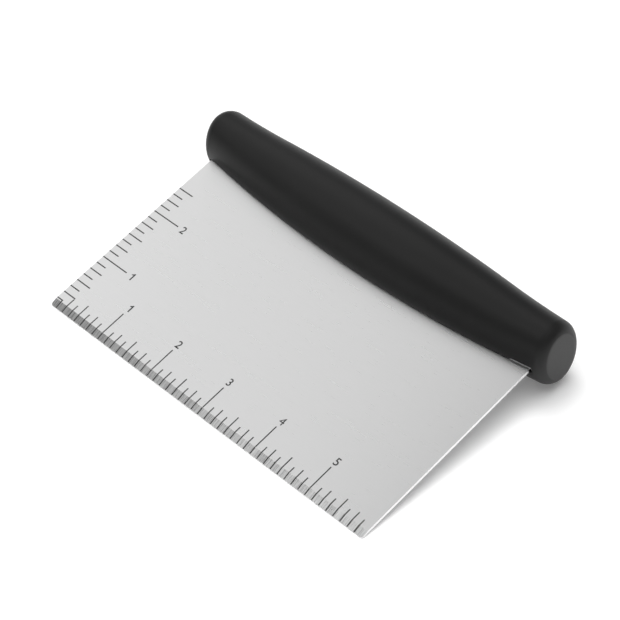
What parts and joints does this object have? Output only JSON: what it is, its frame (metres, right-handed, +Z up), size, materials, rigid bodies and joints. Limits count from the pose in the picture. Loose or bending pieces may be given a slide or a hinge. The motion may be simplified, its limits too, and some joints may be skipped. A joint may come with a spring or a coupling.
{
  "type": "bench scraper",
  "caption": "Stainless bench and bowl scraper with a ruled, ground-edge blade and a soft oval barrel handle moulded along its back.",
  "frame": {"origin": "centre of the tool's footprint, on the worktop it lies on", "axes": "+X along the blade's edge, to the right as its ruler is read; +Y from the edge towards the handle, level with the worktop; +Z up. The tool lies face up, on its edge and on the belly of its handle, so the blade rises towards the handle by about 9.8 degrees"},
  "size_m": [0.162, 0.1014, 0.0319],
  "materials": {
    "blade_steel": "brushed",
    "core_plastic": "matte",
    "grip_rubber": "matte"
  },
  "bodies": {
    "root": {"blade": "blade_steel", "handle_core": "core_plastic", "soft_grip": "grip_rubber"}
  },
  "joints": []
}
